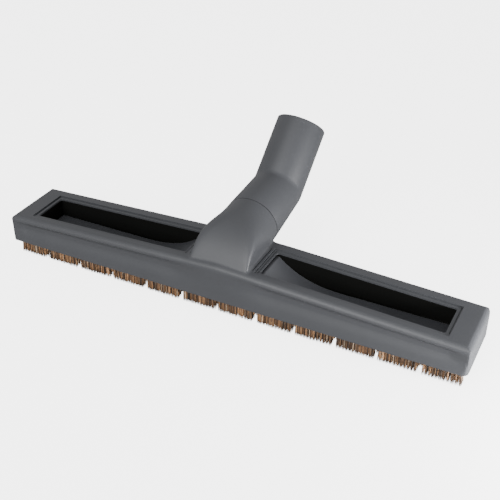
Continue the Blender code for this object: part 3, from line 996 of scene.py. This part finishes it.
@dataclass
class Elbow:
    """The one-piece elbow: spigot, shoulder, soft bend and the socket with its rounded rim."""

    plastic: bpy.types.Material
    neck: Neck
    turn: float = math.radians(3.8)
    bend: float = math.radians(38.0)
    lower: float = 45.1 * MM
    upper: float = 54.0 * MM
    bend_radius: float = 19.4 * MM
    softness: float = 2.4 * MM
    wall: float = 1.8 * MM
    socket: float = 17.5 * MM
    socket_depth: float = 38.0 * MM
    spigot: float = 17.2 * MM
    spigot_length: float = 16.5 * MM
    spigot_chamfer: float = 0.3 * MM
    groove: float = 0.9 * MM
    clip_width: float = 2.2 * MM
    gap: float = 0.3 * MM
    around: int = 128
    crease_steps: int = 10
    bore_steps: int = 6
    sharp_angle: float = 32.0

    def ring(self, kind: str, radius: float, along: float, share: float = 0.0) -> Callable[[float], Vector]:
        """Pick the rule for one ring of the wall.

        Args:
            kind: "low" about the lower tube, "high" about the upper one, "bend" over the crease.
            radius: The ring's radius.
            along: Its height along that tube.
            share: How far over the crease a "bend" ring is, from 0 to 1.

        Returns:
            A function from angle to point, about the swivel's axis.
        """
        corner = Matrix.Translation((0, 0, self.lower)) @ Matrix.Rotation(self.bend, 4, "X")
        slope = math.tan(self.bend / 2)

        def point(angle: float) -> Vector:
            x, y = radius * math.cos(angle), radius * math.sin(angle)
            if kind == "low":
                return Vector((x, y, along))
            if kind == "high":
                return corner @ Vector((x, y, along))
            a = Vector((x, y, self.lower + y * slope - self.softness))
            b = corner @ Vector((x, y, -y * slope + self.softness))
            crease = Vector((x, y, self.lower + y * slope))
            return a * (1 - share) ** 2 + crease * 2 * share * (1 - share) + b * share**2

        return point

    def outline(self) -> list[Callable[[float], Vector]]:
        """List the rings from the spigot's foot, over the outside, and back through the bore.

        Returns:
            One rule for each ring.
        """
        gap, foot = self.gap, -self.spigot_length
        collar = self.neck.collar_radius
        clip_low = -(self.neck.collar_length + gap)
        clip_high = clip_low - self.clip_width - 2 * gap
        inner = self.spigot - self.groove
        bore = self.spigot - self.wall
        rings = [self.ring("low", radius, along) for radius, along in (
            (self.spigot - self.spigot_chamfer, foot), (self.spigot, foot + self.spigot_chamfer),
            (self.spigot, clip_high), (inner, clip_high), (inner, clip_low + gap),
            (self.spigot, clip_low + gap), (self.spigot, gap),
            # The shoulder: a narrow step at the collar's mouth, then an edge with a small chamfer.
            (collar - 1.1 * MM, gap), (collar - 1.0 * MM, gap + 0.45 * MM),
            (collar - 0.15 * MM, gap + 0.6 * MM), (collar, gap + 1.0 * MM),
        )]
        steps = self.crease_steps
        rings += [self.ring("bend", self.bend_radius, 0.0, i / steps) for i in range(steps + 1)]
        steps = self.bore_steps
        for i in range(steps + 1):
            angle = math.pi * i / steps
            radius = self.socket + self.wall / 2 + self.wall / 2 * math.cos(angle)
            rings.append(self.ring("high", radius, self.upper - self.wall / 2 * (1 - math.sin(angle))))
        stop = self.upper - self.socket_depth
        rings += [self.ring("high", self.socket, stop), self.ring("high", bore, stop)]
        rings += [self.ring("bend", bore, 0.0, 1 - i / steps) for i in range(steps + 1)]
        rings.append(self.ring("low", bore, foot))
        return rings

    def build(self) -> bpy.types.Object:
        """Make the elbow from a torus whose rings take the wall's outline.

        Returns:
            The finished piece.
        """
        rings = self.outline()
        clean_start()
        major = 2.0
        bpy.ops.mesh.primitive_torus_add(
            major_segments=self.around, minor_segments=len(rings), major_radius=major, minor_radius=0.5
        )
        obj = bpy.context.active_object
        obj.name = "elbow"
        matrix = self.neck.frame() @ Matrix.Rotation(self.turn, 4, "Z")

        def rule(v: Vector) -> Vector:
            angle = math.atan2(v.y, v.x)
            out = math.hypot(v.x, v.y) - major
            index = round(math.atan2(v.z, out) / (2 * math.pi) * len(rings)) % len(rings)
            return matrix @ rings[index](angle)

        reshape(obj, rule)
        outward(obj)
        smooth(obj, self.sharp_angle)
        dress(obj, self.plastic)
        return register(obj, "elbow", "grey_housing", "swivel_elbow")


# ---------------------------------------------------------------- bristles


@dataclass
class BristleRow:
    """One row of loose horsehair: twelve blocks of hairs with short hairs between them."""

    hair: bpy.types.Material
    row: Row
    count: int = 19000
    thickness: float = 0.32 * MM
    taper: float = 0.95
    root_drop: float = 0.4 * MM
    root_width: float = 4.4 * MM
    root_margin: float = 0.2 * MM
    tip_width: float = 6.2 * MM
    tip_margin: float = 0.25 * MM
    end_margin: float = 0.1 * MM
    splay: float = 2.2 * MM
    splay_zone: float = 9.0 * MM
    splay_share: float = 0.9
    notches: int = 11
    notch_width: float = 3.6 * MM
    notch_depth: float = 6.8 * MM
    shift: float = -1.5 * MM
    tuft: float = 2.4 * MM
    tuft_pull: float = 0.36
    bend_place: float = 0.8
    # How far loose hairs stray: in their tips' height, then sideways and to the front or rear.
    uneven: float = 0.5 * MM
    tip_stray: tuple[float, float] = (0.25 * MM, 0.12 * MM)
    bend_stray: tuple[float, float] = (0.12 * MM, 0.08 * MM)
    # Tones: of one hair, of a streak of neighbours, and a patch with more pale hairs.
    hair_tones: tuple[float, float] = (0.75, 1.2)
    streak: float = 0.8 * MM
    streak_tones: tuple[float, float] = (0.3, 1.5)
    pale_middle: float = -45.0 * MM
    pale_half: float = 18.0 * MM
    pale_share: float = 0.05

    def colours(self, rng: np.random.Generator, x: np.ndarray) -> np.ndarray:
        """Give each hair one of the coat's colours, with a few more pale hairs left of the middle.

        Args:
            rng: The row's own random numbers.
            x: Each hair's place along the row.

        Returns:
            Linear red, green and blue for each hair.
        """
        coat = np.array([linear(colour)[:3] for colour, _ in Horsehair.coat])
        pick = rng.choice(len(coat), size=len(x), p=[share for _, share in Horsehair.coat])
        pale = (np.abs(x - self.pale_middle) < self.pale_half) & (rng.random(len(x)) < self.pale_share)
        pick[pale] = len(coat) - 1
        shade = rng.uniform(*self.hair_tones, (len(x), 1))
        # Neighbours share a tone, so the row shows light and dark streaks.
        place = np.floor((x - x.min()) / self.streak).astype(int)
        tone = rng.uniform(*self.streak_tones, (place.max() + 1, 1))
        return np.clip(coat[pick] * shade * tone[place], 0, 1)

    def build(self) -> bpy.types.Object:
        """Make the row as one mesh of thin tapered hairs.

        Returns:
            The finished row.
        """
        low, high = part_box(f"{self.row.value}_bristles")
        rng = np.random.default_rng(ROW_SEEDS[self.row])
        n = self.count
        _, middle = plan_middle(low, high)
        half = high.x - self.splay
        x = rng.uniform(-half, half, n)
        across = rng.uniform(-1, 1, n)
        deep = middle + across * (self.root_width / 2 - self.root_margin)
        root = np.stack([x, deep, np.full(n, high.z - self.root_drop)], 1)
        pitch = (CAD_BOX[1].x - CAD_BOX[0].x) / (self.notches + 1)
        centres = self.shift + (np.arange(self.notches) - (self.notches - 1) / 2) * pitch
        gap = np.abs(x[:, None] - centres[None, :]).min(1) < self.notch_width / 2
        uneven = np.abs(rng.normal(0, self.uneven, n))
        tip_z = np.where(gap, self.notch_depth + rng.normal(0, self.uneven, n), uneven) + low.z
        lean = (np.round(x / self.tuft) * self.tuft - x) * self.tuft_pull
        outer = np.maximum(np.abs(x) - (half - self.splay_zone), 0) / self.splay_zone
        spread = np.sign(x) * outer * self.splay * self.splay_share
        tip_x = x + lean + spread + rng.normal(0, self.tip_stray[0], n)
        tip_x = np.clip(tip_x, low.x + self.end_margin, high.x - self.end_margin)
        deep = middle + across * (self.tip_width / 2 - self.tip_margin)
        tip = np.stack([tip_x, deep + rng.normal(0, self.tip_stray[1], n), tip_z], 1)
        wave = np.stack([*(rng.normal(0, stray, n) for stray in self.bend_stray), np.zeros(n)], 1)
        bend = root * (1 - self.bend_place) + tip * self.bend_place + wave
        return self.mesh(root, bend, tip, self.colours(rng, x))

    def mesh(
        self, root: np.ndarray, bend: np.ndarray, tip: np.ndarray, colour: np.ndarray
    ) -> bpy.types.Object:
        """Turn the hairs' lines into three-sided hairs of one mesh.

        Args:
            root: Upper end of each hair.
            bend: Middle of each hair.
            tip: Lower end of each hair.
            colour: Linear colour of each hair.

        Returns:
            The finished row.
        """
        n, sides = len(root), 3
        each = 2 * sides + 1
        angles = np.arange(sides) * 2 * math.pi / sides
        star = np.stack([np.cos(angles), np.sin(angles), np.zeros(sides)], 1) * self.thickness / 2
        points = np.concatenate([root[:, None] + star, bend[:, None] + star * self.taper, tip[:, None]], 1)
        pattern = []
        for i in range(sides):
            j = (i + 1) % sides
            pattern += [(i, i + sides, j + sides), (i, j + sides, j), (i + sides, 2 * sides, j + sides)]
        pattern.append(tuple(range(sides)))
        faces = (np.array(pattern)[None] + (np.arange(n) * each)[:, None, None]).reshape(-1, 3)
        name = f"{self.row.value}_horsehair"
        mesh = bpy.data.meshes.new(name)
        mesh.from_pydata(points.reshape(-1, 3).tolist(), [], faces.tolist())
        data = mesh.color_attributes.new(name=Horsehair.attribute, type="FLOAT_COLOR", domain="POINT")
        rgba = np.concatenate([np.repeat(colour, each, 0), np.ones((n * each, 1))], 1)
        data.data.foreach_set("color", rgba.ravel().astype(np.float32))
        mesh.shade_smooth()
        obj = bpy.data.objects.new(name, mesh)
        bpy.context.scene.collection.objects.link(obj)
        dress(obj, self.hair)
        return register(obj, "housing", "bristles", f"{self.row.value}_bristles")


# ---------------------------------------------------------------- screws


@dataclass
class Screws:
    """The eight pan-head screws with their cross recesses."""

    steel: bpy.types.Material
    head: float = 2.6 * MM
    head_height: float = 1.6 * MM
    head_round: float = 0.6 * MM
    shank: float = 1.3 * MM
    shank_sunk: float = 0.4 * MM
    recess_reach: float = 1.5 * MM
    recess_half: float = 0.28 * MM
    recess_depth: float = 0.9 * MM
    sharp_angle: float = 35.0

    def one(self, node: str) -> bpy.types.Object:
        """Make the screw that stands for one CAD node.

        Args:
            node: The CAD node's name.

        Returns:
            The screw, head down, in its place.
        """
        low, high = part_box(node)
        x, y = plan_middle(low, high)
        base = low.z + self.head_height
        centre = (x, y, low.z + self.head_height / 2)
        obj = drum(node.replace("screw", "pan_head"), self.head, self.head_height, centre, 32)
        only(obj)
        bpy.ops.object.mode_set(mode="EDIT")
        bpy.ops.mesh.select_all(action="DESELECT")
        bpy.ops.mesh.select_mode(type="FACE")
        bm = bmesh.from_edit_mesh(obj.data)
        for face in bm.faces:
            face.select = face.normal.z < -0.9
        bmesh.update_edit_mesh(obj.data)
        bpy.ops.mesh.bevel(offset=self.head_round, segments=4, affect="EDGES")
        bpy.ops.mesh.select_mode(type="VERT")
        bpy.ops.object.mode_set(mode="OBJECT")
        length = high.z - base + self.shank_sunk
        centre = (x, y, (base - self.shank_sunk + high.z) / 2)
        cut(obj, drum("shank", self.shank, length, centre, 24), "UNION")
        reach, half = self.recess_reach, self.recess_half
        for a, b in ((reach, half), (half, reach)):
            corner = (x + a, y + b, low.z + self.recess_depth)
            cut(obj, block("recess", (x - a, y - b, low.z - MM), corner))
        outward(obj)
        smooth(obj, self.sharp_angle)
        dress(obj, self.steel)
        return obj

    def build(self) -> None:
        """Make the first screw of each kind, and copy it to the other places of its kind."""
        for kind in SCREW_KINDS:
            nodes = [node for node in SCREW_NODES if node.startswith(kind)]
            first = self.one(nodes[0])
            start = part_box(nodes[0])[0]
            for node in nodes[1:]:
                obj = first.copy()
                obj.data = first.data.copy()
                obj.name = node.replace("screw", "pan_head")
                obj.data.transform(Matrix.Translation(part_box(node)[0] - start))
                bpy.context.scene.collection.objects.link(obj)
                register(obj, "housing", "screw_steel", node)
            register(first, "housing", "screw_steel", nodes[0])


# ---------------------------------------------------------------- stage


@dataclass
class Studio:
    """Pale floor, soft lamps and the camera."""

    target: Point = (0.00604, -0.03329, 0.03242)
    azimuth: float = 26.83
    elevation: float = 33.11
    distance: float = 0.63279
    lens: float = 62.34
    sensor: float = 36.0
    floor_size: float = 12.0
    floor_gap: float = 0.2 * MM
    glow: float = 4.0
    sky: float = 0.8

    def floor(self) -> None:
        """Lay a plain pale floor just under the bristle tips.

        It glows for the camera alone, which makes it white without light thrown up at the object.
        """
        clean_start()
        bpy.ops.mesh.primitive_plane_add(size=self.floor_size, location=(0, 0, -self.floor_gap))
        obj = bpy.context.active_object
        obj.name = "floor"
        material, tree, shader = start_material("floor_matt_white")
        shader.inputs["Base Color"].default_value = linear("b4b4b4")
        shader.inputs["Roughness"].default_value = 0.9
        shader.inputs["Emission Color"].default_value = WHITE
        path = add_node(tree, "ShaderNodeLightPath")
        glow = add_node(
            tree, "ShaderNodeMath", {0: path.outputs["Is Camera Ray"], 1: self.glow}, operation="MULTIPLY"
        )
        tree.links.new(glow.outputs[0], shader.inputs["Emission Strength"])
        dress(obj, material)

    def lamp(self, name: str, place: Point, size: float, power: float) -> None:
        """Hang one square soft lamp that faces the object.

        Args:
            name: The lamp's name.
            place: Where it hangs.
            size: Length of its sides.
            power: Its power in watts.
        """
        data = bpy.data.lights.new(name, "AREA")
        data.size = size
        data.energy = power
        obj = bpy.data.objects.new(name, data)
        obj.location = place
        aim = Vector(self.target) - Vector(place)
        obj.rotation_euler = aim.to_track_quat("-Z", "Y").to_euler()
        bpy.context.scene.collection.objects.link(obj)

    def camera(self) -> None:
        """Stand the camera at its angle and distance from the target."""
        az, el = math.radians(self.azimuth), math.radians(self.elevation)
        back = Vector((math.sin(az) * math.cos(el), -math.cos(az) * math.cos(el), math.sin(el)))
        data = bpy.data.cameras.new("camera")
        data.lens = self.lens
        data.sensor_width = self.sensor
        obj = bpy.data.objects.new("camera", data)
        obj.location = Vector(self.target) + back * self.distance
        obj.rotation_euler = (-back).to_track_quat("-Z", "Y").to_euler()
        bpy.context.scene.collection.objects.link(obj)
        bpy.context.scene.camera = obj

    def build(self) -> None:
        """Set the floor, world, lamps and camera."""
        self.floor()
        world = bpy.data.worlds.new("studio")
        bpy.context.scene.world = world
        world.use_nodes = True
        background = world.node_tree.nodes["Background"]
        background.inputs["Color"].default_value = WHITE
        background.inputs["Strength"].default_value = self.sky
        self.lamp("side", (0.38, -0.09, 0.05), 0.1, 4.4)
        self.lamp("front", (-0.1, -1.1, 0.68), 0.8, 24.0)
        self.lamp("top", (-0.2, -0.4, 1.3), 0.9, 3.0)
        self.camera()


# ---------------------------------------------------------------- all together


def dress_frame(finishes: dict[str, bpy.types.Material]) -> None:
    """Give the CAD nodes that stay their finishes.

    Args:
        finishes: CAD node name to material.
    """
    for name, material in finishes.items():
        node = frame["nodes"][name]
        if node.material_slots:
            for slot in node.material_slots:
                slot.material = material
        else:
            node.data.materials.append(material)
        LOG.info("%s keeps its CAD mesh", name)


def main() -> None:
    """Build every sub-assembly in order, then the stage."""
    logging.basicConfig(level=logging.INFO, format="%(name)s %(message)s")
    # Moulded ABS: satin, with a fine spark-eroded grain that softens every highlight.
    grey = MouldedPlastic("abs_moulded_grey", "343538", "2f3033", 0.5, 1.53, 0.5, 0.02, 0.32).make()
    # Moulded polypropylene: a shade softer and duller than ABS, nearly black.
    black = MouldedPlastic(
        "polypropylene_moulded_black", "080807", "050504", 0.6, 1.49, 0.6, 0.02, 0.1
    ).make()
    # Acetal: off-white and slippery, with a smoother moulded skin.
    acetal = MouldedPlastic("acetal_moulded_white", "e2e1da", "dad9d1", 0.32, 1.48, 0.8, 0.008).make()
    felt = PressedFelt().make()
    hair = Horsehair().make()
    steel = ZincPlate().make()

    housing = Housing(grey)
    housing.build()
    DuctCover(grey, housing).build()
    Elbow(grey, housing.neck).build()
    for row in Row:
        BristleRow(hair, row).build()
    Screws(steel).build()
    dress_frame({
        "inner_frame": black, "front_rail": black, "rear_rail": black, "swivel_bush": acetal,
        "retaining_clip_left": acetal, "retaining_clip_right": acetal, "neck_seal": felt,
    })
    Studio().build()


if __name__ == "__main__":
    main()
